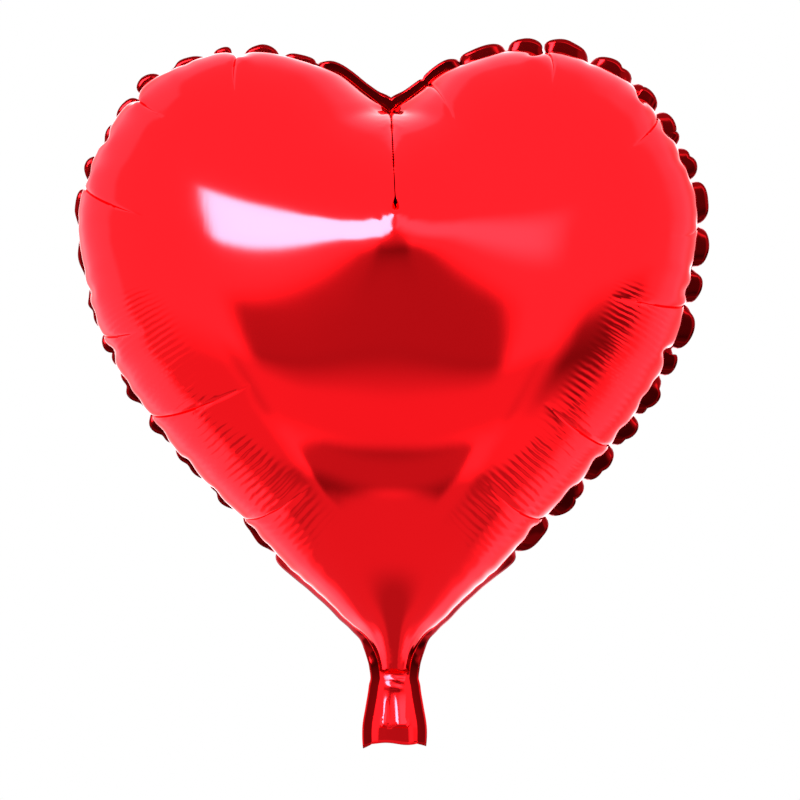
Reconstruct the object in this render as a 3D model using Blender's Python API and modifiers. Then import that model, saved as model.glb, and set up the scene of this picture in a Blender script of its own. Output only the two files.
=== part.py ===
"""Heart-shaped foil balloon, inflated and closed, with its filling tail and its flat valve.

Two sheets of foil are sealed together round their edge.  The rim outside the seal stays flat,
the panels inside it bulge.  At the bottom the outline narrows to a neck, where the balloon is
tied, and opens again into the tail, a flat tube through which it is filled.  A valve of two thin
films runs up the tail, through the neck and a short way into the balloon.

Frame: metres, +Z up, the front panel faces -Y.  The origin is the tying point, in the middle of
the neck: the heart is above it and the tail hangs below it.
"""

import math

import bpy
import numpy as np

MM = 0.001

# Whole object
HEART_HEIGHT = 384.5 * MM      # from the tying point to the top of the lobes
HALF_WIDTH = 195.0 * MM        # from the middle to the outer edge of the rim
HALF_DEPTH = 108.0 * MM        # from the plane of the seam to the crown of one panel

# Foil
FOIL = 0.45 * MM               # wall of a panel, thicker than the real film
SEAM_GAP = 0.4 * MM            # between the two flat rims
RIM = 7.0 * MM                 # width of the flat sealed rim

# Outline of the right half, from the notch to the neck, as shares of the half width and height
OUTLINE = (
    (0.000, 0.910),
    (0.232, 0.971),
    (0.445, 1.000),
    (0.600, 0.986),
    (0.735, 0.948),
    (0.935, 0.818),
    (1.000, 0.690),
    (0.905, 0.530),
    (0.683, 0.345),
    (0.308, 0.148),
    (0.126, 0.053),
)
NECK_HALF_WIDTH = 15.8 * MM

# Mesh of a panel: rays from a centre inside the heart, and rings around it
CENTRE_HEIGHT = 250.0 * MM
RAYS_PER_SIDE = 30
RINGS = 9

# Neck: the panels end just above the tying point, the tail starts just below it
PANEL_BOTTOM = 1.4 * MM
TAIL_TOP = -0.5 * MM
NECK_RISE = 1.2 * MM           # half height of the passage at the panels' lower edge
NECK_FADE = 20.0 * MM          # how far up the neck's own section is felt

# Tail
TAIL_LENGTH = 44.4 * MM
TAIL_MARGIN = 6.0 * MM         # sealed strip along each side
TAIL_RAMP = 3.0 * MM           # width over which the sheet rises from the margin
TAIL_RISE = 2.9 * MM           # half height of the passage in the tail
TAIL_RISE_TOP = 0.8 * MM       # the same at the tail's upper edge
TAIL_STATIONS = (              # height below the tying point, half width, share of the full rise
    (-TAIL_TOP, 15.8 * MM, 0.0),
    (4.0 * MM, 15.9 * MM, 0.45),
    (8.5 * MM, 16.2 * MM, 1.0),
    (20.0 * MM, 17.6 * MM, 1.0),
    (33.0 * MM, 19.5 * MM, 1.0),
    (TAIL_LENGTH, 19.8 * MM, 1.0),
)

# Valve
FILM = 0.3 * MM
FILM_GAP = 0.2 * MM            # between a valve film and the foil beside it
SLEEVE_BOTTOM = -42.0 * MM
SLEEVE_HALF_WIDTH_TOP = 6.0 * MM
SLEEVE_HALF_WIDTH_BOTTOM = 9.5 * MM
LEAF_HEIGHT = 80.0 * MM
LEAF_HALF_WIDTH = 8.0 * MM
LEAF_GAP = 0.5 * MM            # between the two closed leaves

FRONT = -1.0
BACK = 1.0

RED = (0.80, 0.015, 0.025, 1.0)
CLEAR = (0.85, 0.87, 0.88, 1.0)


# ---------------------------------------------------------------- scene

def clear_scene():
    for old in list(bpy.data.objects):
        bpy.data.objects.remove(old)


def new_collection(name):
    collection = bpy.data.collections.new(name)
    bpy.context.scene.collection.children.link(collection)
    return collection


def make_material(name, colour, roughness, metallic, alpha=1.0):
    material = bpy.data.materials.new(name)
    material.use_nodes = True
    shader = material.node_tree.nodes["Principled BSDF"]
    shader.inputs["Base Color"].default_value = colour
    shader.inputs["Roughness"].default_value = roughness
    shader.inputs["Metallic"].default_value = metallic
    shader.inputs["Alpha"].default_value = alpha
    return material


def make_sheet(name, points, faces, side, thickness, material, collection, pivot=(0.0, 0.0, 0.0)):
    """A sheet drawn for the front half, mirrored for the back, thickened away from the inside."""
    placed = [(x - pivot[0], side * y - pivot[1], z - pivot[2]) for x, y, z in points]
    if side == BACK:
        faces = [tuple(reversed(face)) for face in faces]
    mesh = bpy.data.meshes.new(name)
    mesh.from_pydata(placed, [], faces)
    mesh.update()
    mesh.shade_smooth()
    mesh.set_sharp_from_angle(angle=math.radians(35.0))
    mesh.materials.append(material)
    sheet = bpy.data.objects.new(name, mesh)
    sheet.location = pivot
    collection.objects.link(sheet)
    wall = sheet.modifiers.new("wall", "SOLIDIFY")
    wall.thickness = thickness
    wall.offset = 1.0
    return sheet


# ---------------------------------------------------------------- heart outline

def smooth_curve(knots, count):
    """Evenly spaced points on a Catmull-Rom curve through the knots, with both ends."""
    knots = np.array(knots)
    padded = np.vstack([2 * knots[0] - knots[1], knots, 2 * knots[-1] - knots[-2]])
    share = np.linspace(0.0, 1.0, 24, endpoint=False)[:, None]
    pieces = []
    for a, b, c, d in zip(padded, padded[1:], padded[2:], padded[3:]):
        pieces.append(0.5 * (2 * b + (c - a) * share
                             + (2 * a - 5 * b + 4 * c - d) * share ** 2
                             + (3 * b - a - 3 * c + d) * share ** 3))
    dense = np.vstack(pieces + [knots[-1:]])
    steps = np.linalg.norm(np.diff(dense, axis=0), axis=1)
    length = np.concatenate([[0.0], np.cumsum(steps)])
    wanted = np.linspace(0.0, length[-1], count)
    return np.column_stack([np.interp(wanted, length, dense[:, i]) for i in (0, 1)])


def half_outline():
    """Outer edge of the rim, right half, as (x, z) from the notch down to the neck."""
    knots = [(x * HALF_WIDTH, z * HEART_HEIGHT) for x, z in OUTLINE]
    knots.append((NECK_HALF_WIDTH, PANEL_BOTTOM))
    return smooth_curve(knots, RAYS_PER_SIDE)


def inset(edge, distance):
    """The right half of an edge moved inwards, the notch along its axis, the neck end along X."""
    mirrored = edge[1:2] * (-1, 1)
    ahead = np.vstack([edge[1:], edge[-1:]])
    behind = np.vstack([mirrored, edge[:-1]])
    along = ahead - behind
    along /= np.linalg.norm(along, axis=1)[:, None]
    inward = np.column_stack([along[:, 1], -along[:, 0]])
    inward[-1] = (-1.0, 0.0)
    return edge + inward * distance


# ---------------------------------------------------------------- inflated panel

def membrane(points, triangles, fixed):
    """Heights of an evenly loaded membrane on a flat triangle mesh, zero at the fixed points."""
    count = len(points)
    stiffness = np.zeros((count, count))
    load = np.zeros(count)
    for triangle in triangles:
        corners = points[list(triangle)]
        edges = corners[[2, 0, 1]] - corners[[1, 2, 0]]
        area = 0.5 * abs(edges[0][0] * edges[1][1] - edges[0][1] * edges[1][0])
        stiffness[np.ix_(triangle, triangle)] += edges @ edges.T / (4.0 * area)
        load[list(triangle)] += area / 3.0
    free = np.setdiff1d(np.arange(count), fixed)
    heights = np.zeros(count)
    heights[free] = np.linalg.solve(stiffness[np.ix_(free, free)], load[free])
    return heights


def trapezoid(x, half_width, ramp):
    """1 over the middle of a section, falling to 0 over the ramp inside its half width."""
    return float(np.clip((half_width - abs(x)) / ramp, 0.0, 1.0))


def panel_geometry():
    """Points and faces of the front panel's inner skin, with y pointing out of the balloon."""
    outer = half_outline()
    seam = inset(outer, RIM)
    seam[-1] = (NECK_HALF_WIDTH - TAIL_MARGIN, PANEL_BOTTOM)
    passage = seam[-1, 0]
    shelf = passage - TAIL_RAMP

    # Round the heart, clockwise from the notch: right half, across the neck, left half
    neck_line = [(shelf, PANEL_BOTTOM), (0.0, PANEL_BOTTOM), (-shelf, PANEL_BOTTOM)]
    loop = np.vstack([seam, neck_line, (seam * (-1, 1))[:0:-1]])
    rays = len(loop)
    neck_first = len(seam)
    centre = np.array([0.0, CENTRE_HEIGHT])

    flat = [centre]
    for ring in range(1, RINGS + 1):
        share = math.sin(0.5 * math.pi * ring / RINGS)
        flat.extend(centre + (loop - centre) * share)
    flat = np.array(flat)

    faces = []
    for ray in range(rays):
        after = (ray + 1) % rays
        faces.append((0, 1 + after, 1 + ray))
        for ring in range(RINGS - 1):
            inner = 1 + ring * rays
            faces.append((inner + ray, inner + after, inner + rays + after, inner + rays + ray))
    triangles = []
    for face in faces:
        triangles.append(face[:3])
        if len(face) == 4:
            triangles.append((face[0], face[2], face[3]))

    last_ring = np.arange(1 + (RINGS - 1) * rays, 1 + RINGS * rays)
    bulge = np.sqrt(np.maximum(membrane(flat, triangles, last_ring), 0.0))
    bulge *= HALF_DEPTH / bulge.max()
    points = []
    for (x, z), height in zip(flat, bulge):
        neck = NECK_RISE * trapezoid(x, passage, TAIL_RAMP) * math.exp(-(z - PANEL_BOTTOM) / NECK_FADE)
        points.append((x, 0.5 * SEAM_GAP + math.hypot(height, neck), z))

    # The flat rim, outside the seam and open at the neck
    rim_rays = [ray for ray in range(rays) if not neck_first <= ray < neck_first + len(neck_line)]
    rim_edge = np.vstack([outer, (outer * (-1, 1))[:0:-1]])
    rim_start = len(points)
    points.extend((x, 0.5 * SEAM_GAP, z) for x, z in rim_edge)
    for place, ray in enumerate(rim_rays):
        after = rim_rays[(place + 1) % len(rim_rays)]
        if (after - ray) % rays != 1:
            continue
        edge = rim_start + place
        edge_after = rim_start + (place + 1) % len(rim_rays)
        faces.append((last_ring[ray], last_ring[after], edge_after, edge))
    return points, [tuple(int(i) for i in face) for face in faces]


# ---------------------------------------------------------------- tail and valve

def tail_rise(depth):
    """Half height of the tail's passage at a depth below the tying point."""
    depths = [station[0] for station in TAIL_STATIONS]
    shares = [station[2] for station in TAIL_STATIONS]
    share = float(np.interp(depth, depths, shares))
    return TAIL_RISE_TOP + (TAIL_RISE - TAIL_RISE_TOP) * share


def ladder(rows):
    """Points and faces of a sheet given as rows of equally many points, from top to bottom."""
    width = len(rows[0])
    points = [point for row in rows for point in row]
    faces = []
    for row in range(len(rows) - 1):
        for column in range(width - 1):
            corner = row * width + column
            faces.append((corner, corner + width, corner + width + 1, corner + 1))
    return points, faces


def tail_geometry():
    """Inner skin of the tail's front sheet: flat margins, ramps and a flat middle."""
    rows = []
    for depth, half_width, _ in TAIL_STATIONS:
        passage = half_width - TAIL_MARGIN
        shelf = passage - TAIL_RAMP
        rise = tail_rise(depth)
        section = [(half_width, 0.5 * SEAM_GAP), (passage, 0.5 * SEAM_GAP), (shelf, rise)]
        row = [(-x, y, -depth) for x, y in section]
        row += [(x, y, -depth) for x, y in reversed(section)]
        rows.append(row)
    return ladder(rows)


def sleeve_geometry():
    """Inner skin of the valve film that lies against the tail's front sheet."""
    depths = [station[0] for station in TAIL_STATIONS[:-1]] + [-SLEEVE_BOTTOM]
    rows = []
    for depth in depths:
        share = (depth - depths[0]) / (depths[-1] - depths[0])
        half_width = SLEEVE_HALF_WIDTH_TOP + (SLEEVE_HALF_WIDTH_BOTTOM - SLEEVE_HALF_WIDTH_TOP) * share
        y = tail_rise(depth) - FILM_GAP - FILM
        rows.append([(-half_width, y, -depth), (half_width, y, -depth)])
    return ladder(rows)


def leaf_geometry():
    """Inner skin of the valve's front leaf, standing flat inside the balloon."""
    y = 0.5 * LEAF_GAP
    rows = []
    for z in (LEAF_HEIGHT, PANEL_BOTTOM):
        rows.append([(-LEAF_HALF_WIDTH, y, z), (LEAF_HALF_WIDTH, y, z)])
    return ladder(rows)


# ---------------------------------------------------------------- assembly

def build():
    clear_scene()
    parts = new_collection("heart_foil_balloon")
    foil = make_material("red_foil", RED, 0.12, 1.0)
    film = make_material("valve_film", CLEAR, 0.35, 0.0, alpha=0.5)
    neck_pivot = (0.0, 0.0, 0.0)

    panel = panel_geometry()
    tail = tail_geometry()
    sleeve = sleeve_geometry()
    leaf = leaf_geometry()
    for side, word in ((FRONT, "front"), (BACK, "back")):
        make_sheet(f"{word}_panel", *panel, side, FOIL, foil, parts)
        make_sheet(f"tail_{word}", *tail, side, FOIL, foil, parts, pivot=neck_pivot)
        make_sheet(f"valve_sleeve_{word}", *sleeve, side, FILM, film, parts, pivot=neck_pivot)
        leaf_pivot = (0.0, side * 0.5 * LEAF_GAP, PANEL_BOTTOM)
        make_sheet(f"valve_leaf_{word}", *leaf, side, FILM, film, parts, pivot=leaf_pivot)


build()
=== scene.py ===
"""Heart-shaped foil balloon: the looks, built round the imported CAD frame.

The two foil panels are cut flat, welded along one seam and blown up in a cloth simulation, which gives
the heart its body and the fold under the notch. The creases that run in from the seam, the scalloped
rim, the gathers at the neck and the tail's fine shape are then laid on it.
Everything is in metres, in the frame of the CAD: the origin is the tying point in the neck, the
front faces -Y, the heart is above the origin and the tail below it.
"""

import math

import bpy
import numpy as np
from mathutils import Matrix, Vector
from mathutils.bvhtree import BVHTree
from mathutils.geometry import delaunay_2d_cdt


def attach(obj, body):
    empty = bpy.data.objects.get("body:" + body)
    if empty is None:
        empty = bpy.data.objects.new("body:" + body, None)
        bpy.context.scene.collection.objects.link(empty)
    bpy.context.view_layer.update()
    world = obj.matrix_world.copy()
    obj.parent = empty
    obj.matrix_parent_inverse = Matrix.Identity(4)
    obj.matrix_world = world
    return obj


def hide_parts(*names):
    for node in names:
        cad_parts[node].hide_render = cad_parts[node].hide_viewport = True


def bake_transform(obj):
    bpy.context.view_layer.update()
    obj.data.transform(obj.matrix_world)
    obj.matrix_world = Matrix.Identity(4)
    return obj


MM = 0.001

# ---------------------------------------------------------------- the flat pattern

# Seam line of the flat foil, right half, from the notch to the tail's mouth: x and height.
FLAT_SEAM = (
    (0.0000, 0.4312),
    (0.0240, 0.4398),
    (0.0500, 0.4460),
    (0.0969, 0.4478),
    (0.1410, 0.4388),
    (0.1828, 0.4140),
    (0.2148, 0.3688),
    (0.2346, 0.3179),
    (0.2355, 0.2705),
    (0.2222, 0.2155),
    (0.1900, 0.1552),
    (0.1472, 0.1010),
    (0.0948, 0.0530),
    (0.0508, 0.0242),
    (0.0242, 0.0118),
    (0.0098, 0.0000),
    (0.0099, -0.0100),
    (0.0118, -0.0220),
    (0.0136, -0.0330),
    (0.0137, -0.0435),
)
TAIL_SEAM = FLAT_SEAM[15:]
FOLD_LENGTH = 125.0 * MM        # the fold that runs down from the notch
FOLD_ZONE = 14.0 * MM           # distance from it within which the mesh is finer
RIM = 9.5 * MM                  # width of the sealed rim round the heart
TAIL_RIM = 6.0 * MM             # and beside the tail
RIM_ROWS = 4
TAIL_ZONE = 5.0 * MM            # height under which the mesh is finer

# ---------------------------------------------------------------- the simulation

SIM_STEP = 6.0 * MM             # spacing of the simulated mesh over the heart
SIM_TAIL_STEP = 3.0 * MM        # and over the tail
SIM_SCALE = 10.0                # the cloth solver works best on objects of some metres
SIM_FRAMES = 18
START_BULGE = 6.0 * MM          # the sheets start this far apart from the seam's plane
BULGE_ZONE = 50.0 * MM          # at this distance from the seam and beyond
FOLD_BULGE = 0.1                # share of it along the fold
PRESSURE = 5.0
FOLD_PRESSURE = 0.3             # share of the pressure along the fold
STRETCH = 80.0
SHRINK = 0.3                    # film can't take compression: it gives way in wrinkles too fine to mesh
BENDING = 0.02
FOIL_MASS = 0.01
QUALITY = 6
DAMPING = 5.0

# ---------------------------------------------------------------- creases and rim

SKIN_STEP = 3.0 * MM            # spacing of the finished mesh inside
EDGE_STEP = 1.5 * MM            # and close to the seam, in the tail and along creases
EDGE_ZONE = 10.0 * MM
CLEAR_OF_EDGE = 0.55            # inner points keep this many steps away from the outline
CLEAR_OF_LINE = 0.6             # and this many fine steps away from creases and the fold
SHARP_ANGLE = math.radians(28)

# Creases that run in from the seam: side, share of the seam from the notch, length, lean in
# degrees towards the neck, and depth against the others.
CREASES = (
    (-1, 0.157, 72 * MM, 0, 0.8),
    (-1, 0.283, 64 * MM, 2, 1.0),
    (-1, 0.403, 97 * MM, 3, 1.0),
    (-1, 0.555, 74 * MM, 13, 1.0),
    (-1, 0.661, 118 * MM, 11, 1.0),
    (-1, 0.805, 98 * MM, 8, 0.9),
    (1, 0.040, 82 * MM, -4, 0.6),
    (1, 0.170, 62 * MM, 2, 0.8),
    (1, 0.313, 70 * MM, 10, 1.0),
    (1, 0.446, 58 * MM, 8, 0.4),
    (1, 0.524, 98 * MM, 9, 1.0),
    (1, 0.706, 100 * MM, 2, 1.0),
    (1, 0.806, 90 * MM, 5, 0.9),
)
CREASE_DEPTH = 2.4 * MM
CREASE_WIDTH = 0.9 * MM
PILLOW_DEPTH = 0.7 * MM         # the pillows between creases bulge by this much
PILLOW_WIDTH = 9.0 * MM
CREASE_BOW = 3.0 * MM           # sideways bow of a crease along its length
CREASE_MESH = (-2.2 * MM, -0.9 * MM, 0.9 * MM, 2.2 * MM)      # mesh lines beside a crease
TURN_ZONE = 8 * MM              # nearer the seam, creases press in from the edge, and gathers fade
SCALLOP = 32.0 * MM             # length along the seam of one scallop of the rim
SCALLOP_SHIFT = 3 * MM          # its ends are moved at random by up to this
SCALLOP_SIZE = (0.78, 1.03)     # and its width is scaled at random within these
SCALLOP_SHARPNESS = 6.0         # power of the curve between two cusps
CUSP_LOSS = 0.5                 # the rim is narrower by this share in a cusp
CUSP_SHARPNESS = 2.0
OVERHANG = {-1: 7.8 * MM, 1: 3.3 * MM}    # how far the pillows stand out beyond the seam
SCALLOP_RISE = 1.4 * MM
OVERHANG_FADE = 9.0 * MM
RIM_FOLD = math.radians(74)     # the rim is turned back this far between two scallops
HEART_BOTTOM = (55 * MM, 95 * MM)         # heights between which the scallops fade in
LOWER_FOLD = math.radians(62)   # under them the rim is turned back by this much
LOWER_START = (4 * MM, 30 * MM)           # from these heights on
NOTCH_RIM = 5.5 * MM            # the rim is narrower in the notch
NOTCH_FILL = 4.2 * MM           # but rounds off the notch itself
NOTCH_FILL_RUN = 10 * MM
NOTCH_FADE = (35 * MM, 75 * MM)           # runs from the notch between which the scallops fade in
NOTCH_UPRIGHT = 26 * MM         # run over which the rim passes from upright, in the notch, to outward
NOTCH_TILT = math.radians(6)    # the upright rim leans forward by this
LEAN = -4.2 * MM                # the heart stands a little aslant of its tail: x at its top
LEAN_TOP = 300 * MM
FOLD_TOP = 345 * MM
FOLD_END = 276 * MM             # height of the fold's lower end
FOLD_FADE = (FOLD_END - 4 * MM, FOLD_END + 8 * MM)
FOLD_GAP = (7.0 * MM, 2.5 * MM)           # half the gap the simulation leaves: at its end, and higher up
FOLD_GAP_HEIGHTS = (FOLD_END, FOLD_END + 40 * MM)
FOLD_LEFT = 0.45 * MM           # it is closed down to this
FOLD_SEAM_FADE = (1 * MM, 12 * MM)        # flat distances under the notch over which closing begins
FOLD_REACH = 12 * MM            # how far to each side the lobes are moved
FOLD_SHIFT = (1.8 * MM, 5.0 * MM)         # the fold runs a little aslant: x at its top and its end
FOLD_SHIFT_REACH = 60 * MM      # how far below its end and to each side this is felt

# Fine wrinkles on the lower flanks, across the seam
WRINKLE_LENGTH = 5.4 * MM
WRINKLE_RISE = 0.14 * MM
WRINKLE_WAVER = 4.0             # how far noise shifts them, in radians of their wave
WRINKLE_START = (32 * MM, 46 * MM)        # distances from the seam between which they fade in
WRINKLE_END = (74 * MM, 100 * MM)         # and out
WRINKLE_FIRST = (0.49, 0.53)    # shares of the seam between which they fade in
WRINKLE_LAST = (0.76, 0.84)     # and out
WRINKLE_PATCHES = (11 * MM, 5 * MM, 9 * MM)         # they come in patches: two waves along, one inwards
PATCH_STRENGTH = 0.35

# Gathers that spread up from the neck
GATHER_CENTRE = -14.0 * MM      # they point at this height
GATHER_SHIFT = -1.5 * MM        # and at this x
GATHER_RISE = 0.45 * MM
GATHER_ANGLE = math.radians(15)           # from one gather to the next
GATHER_START = (1 * MM, 9 * MM)           # heights between which they fade in
GATHER_END = (18 * MM, 60 * MM)           # and out

# ---------------------------------------------------------------- the tail

# How far it stands out from the seam's plane: distance below the neck and height
TAIL_BULGE = ((0.0, 1.3 * MM), (8.5 * MM, 2.6 * MM), (32.0 * MM, 3.0 * MM), (44.0 * MM, 2.8 * MM))
TAIL_PASSAGE = 4.0 * MM         # over this height the heart's foil passes into the tail's shape
POCKET_TOP = -11.0 * MM         # the tail still holds a little gas in a pocket
POCKET_BOTTOM = -31.5 * MM
POCKET_LIP = 2.2 * MM
POCKET_HALF_WIDTH = 9.6 * MM
POCKET_WALL = 2.6 * MM
POCKET_RISE = 3.0 * MM
GROOVE_AT = -2.6 * MM           # a groove divides it
GROOVE_WIDTH = 2.2 * MM
GROOVE_DEPTH = 0.75             # share of the pocket's rise
TUCK_CENTRE = (2.5 * MM, -5.0 * MM)       # small tucks across the tail under the neck
TUCK_SPREAD = (5.0 * MM, 4.5 * MM)
TUCK_RISE = 0.3 * MM
TUCK_SLANT = 0.25
TUCK_LENGTH = 0.85 * MM         # of their wave, over 2 pi
HEM_RISE = 0.7 * MM             # the tail's lower edge is wavy
HEM_LENGTH = 4.2 * MM           # of its wave, over 2 pi
HEM_SHIFT = 1.5 * MM
HEM_ZONE = (30 * MM, 44 * MM)   # distances below the neck between which this fades in

# ---------------------------------------------------------------- films

FOIL = 0.15 * MM
FILM = 0.10 * MM
FILM_COLUMNS = 25
SLEEVE_ENDS = (-4.0 * MM, -42.0 * MM)
SLEEVE_HALF_WIDTHS = (6.5 * MM, 9.5 * MM)
SLEEVE_PLACE = 0.86             # share of the foil's height at which a sleeve lies
SLEEVE_GAP = 0.5 * MM           # and its distance further in
LEAF_ENDS = (80.0 * MM, 2.0 * MM)
LEAF_HALF_WIDTH = 8.0 * MM
LEAF_PLACE = 0.25 * MM          # half the gap between the two leaves
LEAF_CURL = 0.5 * MM            # their upper corners curl apart by this
LEAF_CURL_HEIGHTS = (60 * MM, 80 * MM)

# ---------------------------------------------------------------- finish of the foil

SEAL_SHADE = 0.14               # painted shade: the rim's base colour is darkened to this share of the foil's, standing in for the dark folds it mirrors
TAIL_SHADE_CUT = 0.35                # beside the tail the rim's painted shade is weakened by this share
TAIL_SHADE_FADE = 10 * MM
SEAL_START = -0.3 * MM          # distance from the seam beyond which the foil is sealed
KNURL = 1.3 * MM                # the pressed pattern of the heat seal
KNURL_RISE = 0.0015 * MM
STREAK_RISE = 0.015 * MM

rng = np.random.default_rng(18)


# ---------------------------------------------------------------- flat geometry helpers

def curve_through(knots):
    """A dense Catmull-Rom curve through the knots."""
    knots = np.array(knots)
    padded = np.vstack([2 * knots[0] - knots[1], knots, 2 * knots[-1] - knots[-2]])
    share = np.linspace(0.0, 1.0, 24, endpoint=False)[:, None]
    pieces = []
    for a, b, c, d in zip(padded, padded[1:], padded[2:], padded[3:]):
        pieces.append(0.5 * (2 * b + (c - a) * share
                             + (2 * a - 5 * b + 4 * c - d) * share ** 2
                             + (3 * b - a - 3 * c + d) * share ** 3))
    return np.vstack(pieces + [knots[-1:]])


def run_along(line):
    """Distance travelled along a line at each of its points."""
    return np.concatenate([[0.0], np.cumsum(np.linalg.norm(np.diff(line, axis=0), axis=1))])


def spaced(line, step):
    """The line again, with even steps."""
    run = run_along(line)
    wanted = np.linspace(0.0, run[-1], max(2, int(round(run[-1] / step)) + 1))
    return np.column_stack([np.interp(wanted, run, line[:, i]) for i in (0, 1)])


def segment_distance(points, start, end):
    along = end - start
    share = np.clip(((points - start) @ along) / (along @ along), 0.0, 1.0)
    return np.linalg.norm(points - start - share[:, None] * along, axis=1), share


def line_distance(points, line):
    """Distance from each point to a line, and the run along the line where it is nearest."""
    run = run_along(line)
    best = np.full(len(points), 1e9)
    place = np.zeros(len(points))
    for i in range(len(line) - 1):
        distance, share = segment_distance(points, line[i], line[i + 1])
        closer = distance < best
        best[closer] = distance[closer]
        place[closer] = run[i] + share[closer] * (run[i + 1] - run[i])
    return best, place


def inside(points, loop):
    """Which points lie inside a closed loop."""
    x, y = points.T
    within = np.zeros(len(points), bool)
    for (x0, y0), (x1, y1) in zip(loop, np.roll(loop, -1, axis=0)):
        crosses = (y0 > y) != (y1 > y)
        if crosses.any():
            within ^= crosses & (x < (x1 - x0) * (y - y0) / (y1 - y0 + 1e-30) + x0)
    return within


def lattice(low, high, step):
    """Points of a triangular lattice, symmetric about x = 0, that covers a box."""
    rows = []
    reach = math.ceil(high[0] / step) * step
    heights = np.arange(low[1] + 0.5 * step, high[1], step * math.sqrt(3) / 2)
    for row, z in enumerate(heights):
        shift = 0.5 * step if row % 2 else 0.0
        xs = np.arange(-reach + shift, reach + 0.5 * step, step)
        rows.append(np.column_stack([xs, np.full(len(xs), z)]))
    return np.vstack(rows)


def facing_front(points, triangles):
    """Triangles turned so that they run anticlockwise as seen from the front."""
    a, b, c = (points[triangles[:, i]] for i in range(3))
    turned = (b[:, 0] - a[:, 0]) * (c[:, 1] - a[:, 1]) < (c[:, 0] - a[:, 0]) * (b[:, 1] - a[:, 1])
    triangles = triangles.copy()
    triangles[turned] = triangles[turned][:, ::-1]
    return triangles


# ---------------------------------------------------------------- flat mesh

def half_seam():
    """The right half of the seam line, and the index where the tail begins."""
    half = curve_through(FLAT_SEAM)
    return half, int(np.argmin(np.abs(half[:, 1] - TAIL_ZONE)))


def crease_line(side, share, length, lean, depth, seam_half, step):
    """Points of a slightly bowed crease, from the seam inwards."""
    half = seam_half * (side, 1)
    run = run_along(half)
    heart_run = np.interp(0.0, -half[:, 1], run)
    start, ahead = (np.array([np.interp(share * heart_run + d, run, half[:, i]) for i in (0, 1)])
                    for d in (0.0, 3 * MM))
    along = (ahead - start) / np.linalg.norm(ahead - start)
    inward = side * np.array([along[1], -along[0]])
    turn = math.radians(lean)
    heading = inward * math.cos(turn) + along * math.sin(turn)
    sideways = np.array([-heading[1], heading[0]])
    t = np.linspace(0.0, 1.0, max(3, int(round(length / step)) + 1))[:, None]
    return start + heading * length * t + side * sideways * CREASE_BOW * 4 * t * (1 - t)


class FlatSheet:
    """A triangle mesh of one flat sheet. Its first points are the seam, from mouth to mouth."""

    def __init__(self, step, fine_step, edge_zone=0.0, creases=()):
        half, neck = half_seam()
        edge_step = fine_step if edge_zone else step
        right = np.vstack([spaced(half[:neck + 1], edge_step)[:-1], spaced(half[neck:], fine_step)])
        self.seam = np.vstack([(right * (-1, 1))[::-1], right[1:]])
        self.seam_count = len(self.seam)
        self.notch = self.seam_count // 2
        mouth = spaced(np.array([right[-1], right[-1] * (-1, 1)]), fine_step)[1:-1]
        loop = np.vstack([self.seam, mouth])

        fold_count = int(round(FOLD_LENGTH / edge_step))
        drop = np.arange(1, fold_count + 1) * FOLD_LENGTH / fold_count
        fold = np.column_stack([np.zeros(fold_count), right[0, 1] - drop])
        lines = [fold]
        for crease in creases:
            line = crease_line(*crease, half, fine_step)
            across = np.gradient(line, axis=0)
            across = np.column_stack([-across[:, 1], across[:, 0]])
            across /= np.linalg.norm(across, axis=1)[:, None]
            lines += [line[1:], *((line + across * shift)[2:] for shift in CREASE_MESH)]

        filling = self.filling(loop, step, fine_step, edge_zone, lines)
        self.points = np.vstack([loop, *lines, filling])
        edges = [(i, (i + 1) % len(loop)) for i in range(len(loop))]
        first = len(loop)
        self.fold = first + np.arange(fold_count)
        self.sharp = []
        for number, line in enumerate(lines):
            ids = list(range(first, first + len(line)))
            if number == 0:
                ids.insert(0, self.notch)
                self.sharp = list(zip(ids, ids[1:]))
            edges += list(zip(ids, ids[1:]))
            first += len(line)
        made = delaunay_2d_cdt([Vector(p) for p in self.points], edges,
                               [list(range(len(loop)))], 1, 1e-7)
        if len(made[0]) != len(self.points):
            raise RuntimeError("the flat pattern crosses itself")
        source = np.array([ids[0] for ids in made[3]])
        self.triangles = facing_front(self.points, source[np.array(made[2])])

    def filling(self, loop, step, fine_step, edge_zone, lines):
        """Lattice points inside: fine in the tail and beside the seam, coarser elsewhere."""
        low, high = loop.min(axis=0), loop.max(axis=0)
        closed = np.vstack([loop, loop[:1]])
        kept = []
        for spacing, is_fine in ((step, False), (fine_step, True)):
            points = lattice(low, high, spacing)
            points = points[inside(points, loop)]
            distance = line_distance(points, closed[::2])[0]
            fine_here = (points[:, 1] < TAIL_ZONE) | (distance < edge_zone)
            whole_fold = np.vstack([self.seam[self.notch], lines[0]])
            fine_here |= line_distance(points, whole_fold)[0] < FOLD_ZONE
            chosen = (fine_here == is_fine) & (distance > CLEAR_OF_EDGE * spacing)
            points = points[chosen]
            for line in (whole_fold, *lines[1:]):
                points = points[line_distance(points, line)[0] > CLEAR_OF_LINE * fine_step]
            kept.append(points)
        return np.vstack(kept)


def seam_place(points, seam, notch):
    """For flat points: distance to the seam (negative outside), run from the notch, and side."""
    right = line_distance(points, seam[notch:])
    left = line_distance(points, seam[notch::-1])
    on_left = points[:, 0] < 0
    distance = np.where(on_left, left[0], right[0])
    run = np.where(on_left, left[1], right[1])
    return distance, run, np.where(on_left, -1, 1)


# ---------------------------------------------------------------- tail shape

def smooth_step(value, low, high):
    share = np.clip((value - low) / (high - low), 0.0, 1.0)
    return share * share * (3.0 - 2.0 * share)


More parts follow.
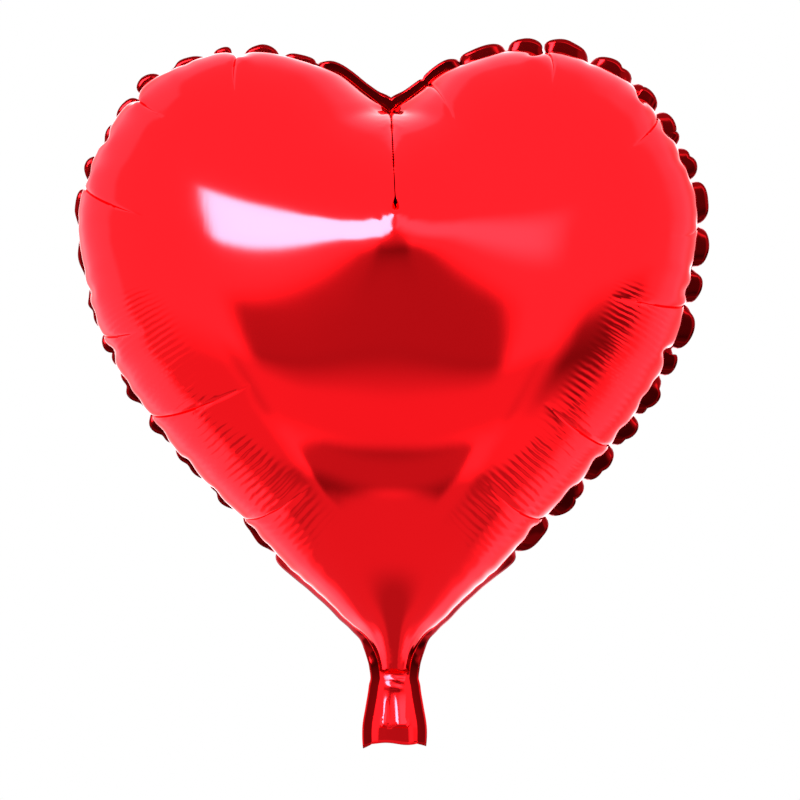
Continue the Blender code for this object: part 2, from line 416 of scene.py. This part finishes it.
def tail_height(x, z, mirror=1.0):
    """How far the tail's foil stands out from the plane of the seam."""
    x = np.asarray(x) * mirror
    half_width = np.interp(-z, [-p[1] for p in TAIL_SEAM], [p[0] for p in TAIL_SEAM])
    across = np.clip(np.abs(x) / half_width, 0.0, 1.0)
    bulge = np.interp(-z, [p[0] for p in TAIL_BULGE], [p[1] for p in TAIL_BULGE])
    height = bulge * (1.0 - across ** 3) ** 0.8

    rise = np.clip((POCKET_TOP - z) / (POCKET_TOP - POCKET_BOTTOM), 0.0, 1.0) ** 1.3
    drop = smooth_step(z, POCKET_BOTTOM - POCKET_LIP, POCKET_BOTTOM)
    walls = 1.0 - smooth_step(np.abs(x), POCKET_HALF_WIDTH - POCKET_WALL, POCKET_HALF_WIDTH)
    groove = 1.0 - GROOVE_DEPTH * np.exp(-((x - GROOVE_AT) / GROOVE_WIDTH) ** 2)
    height = height + POCKET_RISE * rise * drop * walls * groove

    near_x, near_z = (np.exp(-((value - centre) / spread) ** 2)
                      for value, centre, spread in zip((x, z), TUCK_CENTRE, TUCK_SPREAD))
    tucks = near_x * near_z
    return height + TUCK_RISE * tucks * np.sin((z + TUCK_SLANT * x) / TUCK_LENGTH) * (across < 1.0)


# ---------------------------------------------------------------- blowing it up

def add_group(thing, name, weights):
    """A vertex group with a weight for every point, in steps of a hundredth."""
    group = thing.vertex_groups.new(name=name)
    rounded = np.round(weights, 2)
    for weight in np.unique(rounded[rounded > 0]):
        group.add([int(i) for i in np.nonzero(rounded == weight)[0]], float(weight), "REPLACE")


def blow_up(sheet):
    """Cloth simulation of two sheets welded along the seam. Returns both sheets' places."""
    count = len(sheet.points)
    to_back = np.concatenate([np.arange(sheet.seam_count), count + np.arange(count - sheet.seam_count)])
    flat = np.vstack([sheet.points, sheet.points[sheet.seam_count:]])
    side = np.zeros(len(flat))
    side[sheet.seam_count:count] = -1.0
    side[count:] = 1.0
    distance = seam_place(flat, sheet.seam, sheet.notch)[0]
    pressure = np.ones(len(flat))
    bulge = START_BULGE * np.sqrt(np.clip(distance / BULGE_ZONE, 0.0, 1.0))
    for ids in (sheet.fold, to_back[sheet.fold]):
        pressure[ids] = FOLD_PRESSURE
        bulge[ids] *= FOLD_BULGE
    held = flat[:, 1] < 1e-6
    bulge = np.where(held & (side != 0), tail_height(flat[:, 0], flat[:, 1]), bulge)
    start = np.column_stack([flat[:, 0], side * bulge, flat[:, 1]])

    mesh = bpy.data.meshes.new("foil_bag")
    faces = np.vstack([sheet.triangles, to_back[sheet.triangles][:, ::-1]])
    mesh.from_pydata((start * SIM_SCALE).tolist(), [], faces.tolist())
    bag = bpy.data.objects.new("foil_bag", mesh)
    bpy.context.scene.collection.objects.link(bag)
    add_group(bag, "held", held.astype(float))
    add_group(bag, "pressure", pressure)

    cloth = bag.modifiers.new("cloth", "CLOTH")
    settings = cloth.settings
    settings.quality = QUALITY
    settings.mass = FOIL_MASS
    settings.air_damping = DAMPING
    settings.tension_stiffness = STRETCH
    settings.compression_stiffness = settings.shear_stiffness = SHRINK
    settings.tension_damping = settings.compression_damping = settings.shear_damping = DAMPING
    settings.bending_stiffness = BENDING
    settings.use_pressure = True
    settings.uniform_pressure_force = PRESSURE
    settings.vertex_group_pressure = "pressure"
    settings.vertex_group_mass = "held"
    settings.effector_weights.gravity = 0.0
    cloth.collision_settings.use_collision = False
    cloth.point_cache.frame_start = 1
    cloth.point_cache.frame_end = SIM_FRAMES + 1

    scene = bpy.context.scene
    scene.frame_start = 1
    scene.frame_end = SIM_FRAMES + 1
    for number in range(1, SIM_FRAMES + 1):
        scene.frame_set(number)
    result = bag.evaluated_get(bpy.context.evaluated_depsgraph_get())
    places = np.empty(len(start) * 3, np.float32)
    result.data.vertices.foreach_get("co", places)
    places = places.reshape(-1, 3).astype(float) / SIM_SCALE
    bpy.data.objects.remove(bag)
    bpy.data.meshes.remove(mesh)
    scene.frame_set(1)
    places[:sheet.seam_count, 1] = 0.0
    return places[:count], places[to_back]


# ---------------------------------------------------------------- finishing a sheet

def refine(points, triangles, sharp):
    """One step of Loop subdivision on points of any number of columns; sharp edges stay sharp."""
    count = len(points)
    edges = np.vstack([triangles[:, (0, 1)], triangles[:, (1, 2)], triangles[:, (2, 0)]])
    across = np.concatenate([triangles[:, 2], triangles[:, 0], triangles[:, 1]])
    unique, index = np.unique(np.sort(edges, axis=1), axis=0, return_inverse=True)
    index = index.ravel()
    keys = unique[:, 0] * count + unique[:, 1]
    sharp = np.sort(np.array(sharp), axis=1)
    hard = (np.bincount(index) == 1) | np.isin(keys, sharp[:, 0] * count + sharp[:, 1])
    ends = points[unique[:, 0]] + points[unique[:, 1]]
    wings = np.zeros((len(unique), points.shape[1]))
    np.add.at(wings, index, points[across])
    middles = np.where(hard[:, None], 0.5 * ends, 0.375 * ends + 0.125 * wings)

    def neighbours(pairs):
        total = np.zeros_like(points)
        np.add.at(total, pairs[:, 0], points[pairs[:, 1]])
        np.add.at(total, pairs[:, 1], points[pairs[:, 0]])
        return total, np.bincount(pairs.ravel(), minlength=count)

    around, valence = neighbours(unique)
    valence = np.maximum(valence, 1)
    pull = (0.625 - (0.375 + 0.25 * np.cos(2 * math.pi / valence)) ** 2)[:, None]
    moved = (1.0 - pull) * points + pull * around / valence[:, None]
    beside, hard_count = neighbours(unique[hard])
    on_line = hard_count == 2
    moved[on_line] = 0.75 * points[on_line] + 0.125 * beside[on_line]
    moved[hard_count > 2] = points[hard_count > 2]

    a, b, c = triangles.T
    ab, bc, ca = (count + index).reshape(3, -1)
    finer = np.vstack([np.column_stack(t) for t in ((a, ab, ca), (b, bc, ab), (c, ca, bc), (ab, bc, ca))])
    middle_of = {int(k): count + i for i, k in enumerate(keys)}
    split = [(int(i), middle_of[int(i) * count + int(j)]) for i, j in sharp]
    split += [(int(j), middle_of[int(i) * count + int(j)]) for i, j in sharp]
    return np.vstack([moved, middles]), finer, split


def follow(sheet, places, wanted):
    """Where wanted flat points go, when the sheet's flat points go to the given places."""
    points, triangles, sharp = np.hstack([sheet.points, places]), sheet.triangles, sheet.sharp
    for _ in range(2):
        points, triangles, sharp = refine(points, triangles, sharp)
    flat = [(x, z, 0.0) for x, z in points[:, :2]]
    tree = BVHTree.FromPolygons(flat, triangles.tolist())
    found = np.array([tree.find_nearest((x, z, 0.0))[2] for x, z in wanted])
    a, b, c = (points[triangles[found, i]] for i in range(3))
    (ux, uz), (vx, vz), (wx, wz) = (b - a)[:, :2].T, (c - a)[:, :2].T, (wanted - a[:, :2]).T
    area = ux * vz - uz * vx
    second = np.clip((wx * vz - wz * vx) / area, -0.2, 1.2)[:, None]
    third = np.clip((ux * wz - uz * wx) / area, -0.2, 1.2)[:, None]
    return (a + second * (b - a) + third * (c - a))[:, 2:]


def vertex_normals(places, triangles):
    a, b, c = (places[triangles[:, i]] for i in range(3))
    facing = np.cross(b - a, c - a)
    normals = np.zeros_like(places)
    for i in range(3):
        np.add.at(normals, triangles[:, i], facing)
    return normals / np.linalg.norm(normals, axis=1)[:, None]


class Edge:
    """The finished seam: its scallops, its overhang, and the frame in which the rim stands."""

    def __init__(self, sheet, places):
        self.seam, self.notch = sheet.seam, sheet.notch
        self.run = {1: run_along(sheet.seam[sheet.notch:]), -1: run_along(sheet.seam[sheet.notch::-1])}
        line = places[:sheet.seam_count]
        along = np.gradient(line[:, (0, 2)], axis=0)
        for _ in range(12):
            along[1:-1] = 0.25 * along[:-2] + 0.5 * along[1:-1] + 0.25 * along[2:]
        along /= np.linalg.norm(along, axis=1)[:, None]
        self.outward = np.column_stack([-along[:, 1], np.zeros(len(along)), along[:, 0]])
        run = np.abs(run_along(sheet.seam) - run_along(sheet.seam)[self.notch])
        leaning = smooth_step(run, 0.0, NOTCH_UPRIGHT)[:, None]
        self.outward = self.outward * leaning + np.array((0.0, 0.0, 1.0)) * (1.0 - leaning)
        self.outward /= np.linalg.norm(self.outward, axis=1)[:, None]
        self.height = line[:, 2]
        self.cusps = {}
        for side in (-1, 1):
            heart_run = np.interp(0.0, -sheet.seam[:, 1][self.half(side)], self.run[side])
            stops = [0.0] + [c[1] * heart_run for c in CREASES if c[0] == side] + [heart_run]
            cusps = [0.0]
            for start, end in zip(stops, stops[1:]):
                number = max(1, int(round((end - start) / SCALLOP)))
                inner = start + (end - start) * np.arange(1, number) / number
                cusps += list(inner + rng.uniform(-SCALLOP_SHIFT, SCALLOP_SHIFT, number - 1)) + [end]
            self.cusps[side] = np.array(cusps)
        self.size = {side: rng.uniform(*SCALLOP_SIZE, len(self.cusps[side])) for side in (-1, 1)}

    def half(self, side):
        return slice(self.notch, None) if side > 0 else slice(self.notch, None, -1)

    def along(self, values, run, side):
        """Values given per seam point, looked up by run and side."""
        out = np.zeros(run.shape + values.shape[1:])
        for one in (-1, 1):
            chosen = side == one
            table = values[self.half(one)]
            if values.ndim == 1:
                out[chosen] = np.interp(run[chosen], self.run[one], table)
            else:
                for i in range(values.shape[1]):
                    out[chosen, i] = np.interp(run[chosen], self.run[one], table[:, i])
        return out

    def scallop(self, run, side, sharpness=SCALLOP_SHARPNESS):
        """0 in the cusps between scallops, up to 1 in the middle of one."""
        out = np.zeros_like(run)
        for one in (-1, 1):
            chosen = side == one
            cusps = self.cusps[one]
            number = np.clip(np.searchsorted(cusps, run[chosen], "right") - 1, 0, len(cusps) - 2)
            share = (run[chosen] - cusps[number]) / (cusps[number + 1] - cusps[number])
            out[chosen] = 1.0 - np.abs(2.0 * np.clip(share, 0.0, 1.0) - 1.0) ** sharpness
        return out

    def width_share(self, run, side):
        """The rim's width against the full one: each scallop was left with its own."""
        out = np.ones_like(run)
        for one in (-1, 1):
            chosen = side == one
            cusps = self.cusps[one]
            middles = 0.5 * (cusps[1:] + cusps[:-1])
            out[chosen] = np.interp(run[chosen], middles, self.size[one][1:])
        return out

    def inset(self, run, side):
        """How far the seam lies inside the pillows' outline."""
        heart = smooth_step(self.along(self.height, run, side), *HEART_BOTTOM)
        notch = smooth_step(run, *NOTCH_FADE)
        overhang = np.where(side < 0, OVERHANG[-1], OVERHANG[1])
        return heart * notch * (overhang - SCALLOP_RISE * self.scallop(run, side))


def creased(flat, places, normals, distance, outward):
    """Places with a sharp, narrow valley pressed in along every crease."""
    half = half_seam()[0]
    depth = np.zeros(len(flat))
    for crease in CREASES:
        line = crease_line(*crease, half, EDGE_STEP)
        reach, run = line_distance(flat, line)
        length = run_along(line)[-1]
        fade = 1.0 - np.clip(run / length, 0.0, 1.0) ** 2
        valley = CREASE_DEPTH * np.exp(-reach / CREASE_WIDTH)
        valley += PILLOW_DEPTH * np.exp(-(reach / PILLOW_WIDTH) ** 2)
        depth = np.maximum(depth, crease[4] * fade * valley)
    turned = smooth_step(distance, 0.0, TURN_ZONE)[:, None]
    direction = normals * turned + outward * (1.0 - turned)
    direction /= np.linalg.norm(direction, axis=1)[:, None]
    return places - direction * depth[:, None]


def close_fold(flat, places):
    """The two lobes pressed together along the fold, which then runs a little aslant."""
    x, _, z = places.T
    near = smooth_step(z, *FOLD_FADE) * smooth_step(FLAT_SEAM[0][1] - flat[:, 1], *FOLD_SEAM_FADE)
    gap = np.interp(z, FOLD_GAP_HEIGHTS, FOLD_GAP)
    closed = np.abs(x) - near * gap * np.exp(-(x / FOLD_REACH) ** 2)
    closed = np.sign(flat[:, 0]) * np.where(np.abs(flat[:, 0]) < 1e-6, 0.0, np.maximum(FOLD_LEFT, closed))
    x = near * closed + (1.0 - near) * x
    heights = (FOLD_END - FOLD_SHIFT_REACH, FOLD_END, FOLD_TOP)
    shift = np.interp(z, heights, (0.0, FOLD_SHIFT[1], FOLD_SHIFT[0]))
    x = x + shift * np.exp(-(x / FOLD_SHIFT_REACH) ** 2)
    return np.column_stack([x, places[:, 1], places[:, 2]])


def finished_skin(skin, places, triangles, edge_line, sign):
    """The blown-up skin with its inset seam, creases, closed fold, gathers and the tail's fine shape."""
    flat = skin.points
    distance, run, side = seam_place(flat, skin.seam, skin.notch)
    outward = edge_line.along(edge_line.outward, run, side)
    normals = vertex_normals(places, triangles)
    fade = np.exp(-(distance / OVERHANG_FADE) ** 1.5)
    places = places - outward * (edge_line.inset(run, side) * fade)[:, None]
    places = creased(flat, places, normals, distance, outward)
    places[:skin.seam_count, 1] = 0.0
    places = close_fold(flat, places)
    places[:, 0] += LEAN * smooth_step(places[:, 2], 0.0, LEAN_TOP)

    x, z = flat.T
    gathers = np.cos(2 * math.pi * np.arctan2(x - GATHER_SHIFT, z - GATHER_CENTRE) / GATHER_ANGLE)
    gathers *= smooth_step(z, *GATHER_START) * (1.0 - smooth_step(z, *GATHER_END))
    gathers *= smooth_step(distance, 0.0, TURN_ZONE)
    places[:, 1] -= sign * GATHER_RISE * gathers

    # The tail takes its fine shape directly, over a short passage below the neck
    tail = smooth_step(-z, 0.0, TAIL_PASSAGE)
    places[:, 1] += tail * (sign * tail_height(x, z, -sign) * (distance > 1e-7) - places[:, 1])
    places[:, 0] += tail * (x - places[:, 0])
    places[:, 2] += tail * (z - places[:, 2])
    return places


def rim_rows(seam, outward, run, side, edge_line):
    """Rows of points outside the seam and their reach: the rim, turned back between the scallops."""
    height = seam[:, 2]
    in_notch = 1.0 - smooth_step(run, *NOTCH_FADE)
    heart = smooth_step(height, *HEART_BOTTOM) * smooth_step(run, *NOTCH_FADE)
    lower = smooth_step(height, *LOWER_START) * (1.0 - smooth_step(height, *HEART_BOTTOM))
    turn = heart * RIM_FOLD * (1.0 - edge_line.scallop(run, side))
    turn += lower * LOWER_FOLD - NOTCH_TILT * in_notch
    direction = outward * np.cos(turn)[:, None]
    direction[:, 1] = np.sin(turn)

    width = np.interp(height, HEART_BOTTOM, (TAIL_RIM, RIM))
    width = width * (1.0 - heart * (1.0 - edge_line.width_share(run, side)))
    width = width * (1.0 - heart * CUSP_LOSS * (1.0 - edge_line.scallop(run, side, CUSP_SHARPNESS)))
    width = NOTCH_RIM + (width - NOTCH_RIM) * smooth_step(run, *NOTCH_FADE)
    width += NOTCH_FILL * np.exp(-(run / NOTCH_FILL_RUN) ** 2)
    reaches = [width * row / RIM_ROWS for row in range(1, RIM_ROWS + 1)]
    return [seam + direction * reach[:, None] for reach in reaches], reaches


def wrinkle_strength(distance, run, side, edge_line):
    """0 where the foil is smooth, up to 1 where the fine wrinkles of the lower flanks are deepest."""
    share = run / np.where(side < 0, edge_line.run[-1][-1], edge_line.run[1][-1])
    strength = smooth_step(distance, *WRINKLE_START) * (1.0 - smooth_step(distance, *WRINKLE_END))
    strength *= smooth_step(share, *WRINKLE_FIRST) * (1.0 - smooth_step(share, *WRINKLE_LAST))
    slow, quick, inwards = WRINKLE_PATCHES
    patches = np.sin(run / slow) * np.sin(run / quick + distance / inwards)
    return strength * (1.0 - PATCH_STRENGTH + PATCH_STRENGTH * patches)


def sheet_piece(name, skin, places, edge_line, sign, materials):
    """One foil panel with its tail and its side of the sealed rim."""
    triangles = skin.triangles if sign < 0 else skin.triangles[:, ::-1]
    distance, run, side = seam_place(skin.points, skin.seam, skin.notch)
    places = finished_skin(skin, places, triangles, edge_line, sign)

    seam_ids = np.arange(skin.seam_count)
    seam_run, seam_side = run[seam_ids], side[seam_ids]
    outward = edge_line.along(edge_line.outward, seam_run, seam_side)
    rows, reaches = rim_rows(places[seam_ids], outward, seam_run, seam_side, edge_line)
    faces = [triangles]
    inner = seam_ids
    for row in range(RIM_ROWS):
        outer = len(places) + row * skin.seam_count + seam_ids
        a, b, c, d = inner[:-1], inner[1:], outer[1:], outer[:-1]
        band = np.vstack([np.column_stack([a, b, c]), np.column_stack([a, c, d])])
        faces.append(band if sign > 0 else band[:, ::-1])
        inner = outer
    places = np.vstack([places, *rows])
    distance = np.concatenate([distance, *(-reach for reach in reaches)])
    run = np.concatenate([run] + [seam_run] * RIM_ROWS)
    side = np.concatenate([side] + [seam_side] * RIM_ROWS)
    wave = HEM_RISE * np.sin((places[:, 0] - HEM_SHIFT) / HEM_LENGTH)
    places[:, 2] -= wave * smooth_step(-places[:, 2], *HEM_ZONE)

    mesh = bpy.data.meshes.new(name)
    mesh.from_pydata(places.tolist(), [], np.vstack(faces).tolist())
    mesh.update()
    mesh.shade_smooth()
    mesh.set_sharp_from_angle(angle=SHARP_ANGLE)
    attributes = {
        "seam_distance": distance,
        "seam_run": run + (side < 0),
        "wrinkled": wrinkle_strength(distance, run, side, edge_line),
        # painted shade: how strongly the rim's colour is darkened, less beside the tail
        "rim_shade": 1.0 - TAIL_SHADE_CUT * smooth_step(-places[:, 2], -TAIL_SHADE_FADE, TAIL_SHADE_FADE),
    }
    for attribute_name, values in attributes.items():
        attribute = mesh.attributes.new(attribute_name, "FLOAT", "POINT")
        attribute.data.foreach_set("value", values.astype(np.float32))
    for material in materials:
        mesh.materials.append(material)
    piece = bpy.data.objects.new(name, mesh)
    bpy.context.scene.collection.objects.link(piece)
    wall = piece.modifiers.new("foil", "SOLIDIFY")
    wall.thickness = FOIL
    wall.offset = 1.0
    wall.material_offset = 1
    return piece


# ---------------------------------------------------------------- valve films

def film_piece(name, heights, half_width, reach, material):
    """A strip of film: heights from top to bottom, half width and y as functions."""
    points = []
    for z in heights:
        for x in np.linspace(-1.0, 1.0, FILM_COLUMNS) * half_width(z):
            points.append((x, reach(x, z), z))
    faces = []
    for row in range(len(heights) - 1):
        for column in range(FILM_COLUMNS - 1):
            corner = row * FILM_COLUMNS + column
            faces.append((corner, corner + FILM_COLUMNS, corner + FILM_COLUMNS + 1, corner + 1))
    mesh = bpy.data.meshes.new(name)
    mesh.from_pydata(points, [], faces)
    mesh.update()
    mesh.shade_smooth()
    mesh.materials.append(material)
    piece = bpy.data.objects.new(name, mesh)
    bpy.context.scene.collection.objects.link(piece)
    wall = piece.modifiers.new("film", "SOLIDIFY")
    wall.thickness = FILM
    wall.offset = 0.0
    return piece


# ---------------------------------------------------------------- materials

class Nodes:
    """A node tree, with short ways to add to it."""

    def __init__(self, tree):
        self.tree = tree

    def add(self, kind, inputs=(), **settings):
        """A new node. Its inputs, by name or number, are values or other nodes' outputs."""
        made = self.tree.nodes.new(kind)
        for key, value in settings.items():
            setattr(made, key, value)
        self.fill(made, inputs)
        return made

    def fill(self, node, inputs):
        for key, value in dict(inputs).items():
            if isinstance(value, bpy.types.NodeSocket):
                self.tree.links.new(value, node.inputs[key])
            else:
                node.inputs[key].default_value = value

    def maths(self, operation, *values):
        return self.add("ShaderNodeMath", enumerate(values), operation=operation).outputs[0]

    def attribute(self, name):
        return self.add("ShaderNodeAttribute", attribute_name=name).outputs["Fac"]

    def ranged(self, value, low, high):
        """A value from 0 to 1, mapped to low to high."""
        return self.add("ShaderNodeMapRange", {"Value": value, "To Min": low, "To Max": high}).outputs[0]

    def noise(self, place, scale, detail):
        inputs = {"Vector": place, "Scale": scale, "Detail": detail}
        return self.add("ShaderNodeTexNoise", inputs).outputs["Fac"]

    def bump(self, height, strength, distance):
        inputs = {"Height": height, "Strength": strength, "Distance": distance}
        return self.add("ShaderNodeBump", inputs).outputs[0]

    def multiply_colour(self, share, first, second):
        inputs = {"Factor": share, 6: first, 7: second}
        return self.add("ShaderNodeMix", inputs, data_type="RGBA", blend_type="MULTIPLY").outputs[2]


def new_material(name):
    material = bpy.data.materials.new(name)
    material.use_nodes = True
    return material, Nodes(material.node_tree), material.node_tree.nodes["Principled BSDF"]


def foil_relief(nodes, place, distance, run, on_rim):
    """Height of the fine wrinkles, the heat seal's knurl and the film's roller streaks."""
    waver = nodes.noise(place, 45.0, 2.0)
    phase = nodes.maths("ADD", nodes.maths("MULTIPLY", run, 2 * math.pi / WRINKLE_LENGTH),
                        nodes.maths("MULTIPLY", waver, WRINKLE_WAVER))
    wrinkled = nodes.maths("MULTIPLY", nodes.maths("SINE", phase), nodes.attribute("wrinkled"))
    wrinkles = nodes.maths("MULTIPLY", wrinkled, WRINKLE_RISE)

    ridge, cross = (nodes.maths("SINE", nodes.maths("MULTIPLY", value, 2 * math.pi / KNURL))
                    for value in (run, distance))
    knurl = nodes.maths("MULTIPLY", nodes.maths("MULTIPLY", ridge, cross), on_rim)

    stretched = nodes.add("ShaderNodeMapping", {"Vector": place, "Scale": (1.0, 1.0, 0.12)}).outputs[0]
    streaks = nodes.noise(stretched, 140.0, 2.0)
    relief = nodes.maths("ADD", wrinkles, nodes.maths("MULTIPLY", knurl, KNURL_RISE))
    return nodes.maths("ADD", relief, nodes.maths("MULTIPLY", streaks, STREAK_RISE))


def foil_material(name, colour, roughness):
    """Metallised film: a mirror with faint roller streaks, fine creasing, a knurled heat seal and painted
    shade darkening the sealed rim.
    """
    material, nodes, shader = new_material(name)
    place = nodes.add("ShaderNodeTexCoord").outputs["Object"]
    distance = nodes.attribute("seam_distance")
    on_rim = nodes.maths("LESS_THAN", distance, SEAL_START)
    smudge = nodes.noise(place, 9.0, 3.0)
    tinted = nodes.multiply_colour(1.0, (*colour, 1.0), nodes.ranged(smudge, 0.94, 1.04))
    # painted shade: the sealed rim's colour is darkened towards SEAL_SHADE, for the dark folds it mirrors
    rim_shade = nodes.maths("MULTIPLY", on_rim, nodes.attribute("rim_shade"))
    relief = foil_relief(nodes, place, distance, nodes.attribute("seam_run"), on_rim)
    nodes.fill(shader, {
        "Base Color": nodes.multiply_colour(rim_shade, tinted, (SEAL_SHADE, SEAL_SHADE, SEAL_SHADE, 1.0)),
        "Metallic": 1.0,
        "Roughness": nodes.ranged(smudge, roughness * 0.75, roughness * 1.3),
        "Specular Tint": (1.0, 0.58, 0.61, 1.0),
        "Normal": nodes.bump(relief, 1.0, 1.0),
    })
    return material


def film_material(name):
    """Thin translucent polyethylene with faint streaks."""
    material, nodes, shader = new_material(name)
    streaks = nodes.add("ShaderNodeTexNoise", {"Scale": 60.0, "Detail": 4.0}).outputs["Fac"]
    nodes.fill(shader, {
        "Base Color": (0.85, 0.87, 0.88, 1.0),
        "Roughness": nodes.ranged(streaks, 0.25, 0.5),
        "Transmission Weight": 0.6,
        "Alpha": 0.55,
        "Normal": nodes.bump(streaks, 0.4, 0.1 * MM),
    })
    return material


# ---------------------------------------------------------------- studio

# The light tent round the balloon. Each window: light, then azimuth from left to right and elevation
# from low to high in degrees, the softness of its edge, and how it is tilted and bent.
TENT_LIGHT = 2.1
TENT_OPENINGS = (
    (0.50, -46, 44, -34, -15, 4),               # the front of the tent below the opening
    (0.24, -35, 26, -17, 2, 4),                 # the open front
    (0.40, -8, 8, -4, 10, 3),                   # the photographer in it
    (0.30, -36, 28, -45, -32, 2, 0.0, 0.3),     # the edge of the table
    (0.19, 48, 86, -29, -6, 8),                 # a gap at the right
    (0.58, 42, 96, -52, -16, 6),                # and a seam of the cloth round it
    (0.46, -96, -44, -50, -16, 8),              # a seam of the cloth at the left
    (0.42, -220, 220, -110, -45, 3),            # the table
    (0.60, -220, 220, -110, -73, 6),            # its middle, in the shade
    (1.75, -220, -94, -50, 60, 3),              # the white wall behind
    (1.60, 102, 220, -50, 60, 8),
    (0.35, 130, 156, -35, 25, 8),               # and the gaps in it
    (0.35, -168, -146, -30, 35, 8),
)
TENT_LAMPS = (
    (90.0, -37.2, -5, 6.6, 21.6, 1.2, 0.22),    # the soft box
    (5.0, 3, 36, 11, 22, 4),                    # its reflector
)


VIEW_WIDTH = 0.4867             # width of the picture's frame at the balloon's seam
VIEW_CENTRE = (0.0033, 0.0, 0.1655)
FLOOR_HEIGHT = -0.35
FLOOR_RADIUS = 0.8


def studio_world():
    """A white light tent with dark openings in front and behind, and a bright soft box up left."""
    world = bpy.data.worlds.new("light_tent")
    bpy.context.scene.world = world
    world.use_nodes = True
    world.node_tree.nodes.clear()
    nodes = Nodes(world.node_tree)
    direction = nodes.add("ShaderNodeTexCoord").outputs["Generated"]
    x, y, z = nodes.add("ShaderNodeSeparateXYZ", {0: direction}).outputs
    azimuth = nodes.maths("ARCTAN2", x, nodes.maths("MULTIPLY", y, -1.0))
    elevation = nodes.maths("ARCSINE", z)

    def edge(value, at, soft, rising):
        inputs = {"Value": value, "From Min": math.radians(at - soft), "From Max": math.radians(at + soft),
                  "To Min": 0.0 if rising else 1.0, "To Max": 1.0 if rising else 0.0}
        return nodes.add("ShaderNodeMapRange", inputs, interpolation_type="SMOOTHSTEP").outputs[0]

    def patch(left, right, low, high, soft, tilt=0.0, bend=0.0):
        """1 inside a window of azimuth and elevation, which may be tilted or bent."""
        shifted = nodes.maths("ADD", elevation, nodes.maths("MULTIPLY", azimuth, tilt))
        squared = nodes.maths("MULTIPLY", azimuth, azimuth)
        bent = nodes.maths("ADD", shifted, nodes.maths("MULTIPLY", squared, bend))
        wide = nodes.maths("MULTIPLY", edge(azimuth, left, soft, True), edge(azimuth, right, soft, False))
        tall = nodes.maths("MULTIPLY", edge(bent, low, soft, True), edge(bent, high, soft, False))
        return nodes.maths("MULTIPLY", wide, tall)

    light = TENT_LIGHT
    for share, *window in TENT_OPENINGS:
        darkening = nodes.maths("MULTIPLY", patch(*window), share - 1.0)
        light = nodes.maths("MULTIPLY", light, nodes.maths("ADD", 1.0, darkening))
    for strength, *window in TENT_LAMPS:
        light = nodes.maths("ADD", light, nodes.maths("MULTIPLY", patch(*window), strength))

    white = (1.0, 1.0, 1.0, 1.0)
    tent, plain = (nodes.add("ShaderNodeBackground", {"Color": white, "Strength": strength}).outputs[0]
                   for strength in (light, 1.0))
    to_camera = nodes.add("ShaderNodeLightPath").outputs["Is Camera Ray"]
    mixed = nodes.add("ShaderNodeMixShader", {0: to_camera, 1: tent, 2: plain}).outputs[0]
    nodes.add("ShaderNodeOutputWorld", {"Surface": mixed})


def studio_floor():
    """A plain pale disc well below the balloon."""
    bpy.ops.mesh.primitive_circle_add(vertices=96, radius=FLOOR_RADIUS, fill_type="NGON",
                                      location=(0, 0, FLOOR_HEIGHT))
    floor = bpy.context.object
    floor.name = "floor"
    floor.visible_glossy = False
    material, nodes, shader = new_material("pale_floor")
    nodes.fill(shader, {"Base Color": (0.8, 0.8, 0.8, 1.0), "Roughness": 0.9})
    floor.data.materials.append(material)


def studio_camera():
    """Level with the balloon's middle, straight on, from far enough to see it almost flat."""
    data = bpy.data.cameras.new("camera")
    data.sensor_width = 36.0
    data.lens = 150.0
    camera = bpy.data.objects.new("camera", data)
    bpy.context.scene.collection.objects.link(camera)
    distance = data.lens / data.sensor_width * VIEW_WIDTH
    camera.location = Vector(VIEW_CENTRE) + Vector((0.0, -distance, 0.0))
    camera.rotation_euler = (math.pi / 2, 0.0, 0.0)
    bpy.context.scene.camera = camera


# ---------------------------------------------------------------- assembly

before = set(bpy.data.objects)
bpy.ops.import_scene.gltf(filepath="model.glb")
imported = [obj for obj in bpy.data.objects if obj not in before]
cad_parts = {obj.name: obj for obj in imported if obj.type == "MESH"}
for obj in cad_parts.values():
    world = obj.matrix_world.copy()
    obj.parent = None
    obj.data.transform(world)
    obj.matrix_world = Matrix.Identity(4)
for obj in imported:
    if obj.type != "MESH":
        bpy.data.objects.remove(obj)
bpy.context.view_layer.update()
bpy.context.scene.view_settings.view_transform = "Standard"

red = foil_material("red_foil", (0.90, 0.0078, 0.0118), 0.085)
silver = foil_material("silver_inside", (0.75, 0.75, 0.77), 0.25)
clear = film_material("valve_film")

simulated = FlatSheet(SIM_STEP, SIM_TAIL_STEP)
blown = blow_up(simulated)
skin = FlatSheet(SKIN_STEP, EDGE_STEP, EDGE_ZONE, CREASES)
edge_line = Edge(skin, follow(simulated, blown[0], skin.points))

for side, sign, sheet_places in (("front", -1.0, blown[0]), ("back", 1.0, blown[1])):
    sheet_places = follow(simulated, sheet_places, skin.points)
    foil = sheet_piece(f"{side}_foil", skin, sheet_places, edge_line, sign, (red, silver))
    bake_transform(foil)
    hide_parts(f"{side}_panel", f"tail_{side}")

    sleeve = film_piece(
        f"sleeve_{side}", np.linspace(*SLEEVE_ENDS, 40),
        lambda z: np.interp(-z, [-end for end in SLEEVE_ENDS], SLEEVE_HALF_WIDTHS),
        lambda x, z: sign * (tail_height(x, z, -sign) * SLEEVE_PLACE - SLEEVE_GAP), clear)
    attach(sleeve, "tail")
    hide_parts(f"valve_sleeve_{side}")

    def leaf_reach(x, z):
        curl = smooth_step(z, *LEAF_CURL_HEIGHTS) * (x / LEAF_HALF_WIDTH) ** 2
        return sign * (LEAF_PLACE + LEAF_CURL * curl)

    leaf = film_piece(f"leaf_{side}", np.linspace(*LEAF_ENDS, 60), lambda z: LEAF_HALF_WIDTH,
                      leaf_reach, clear)
    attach(leaf, f"valve_{side}")
    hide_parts(f"valve_leaf_{side}")

studio_world()
studio_floor()
studio_camera()
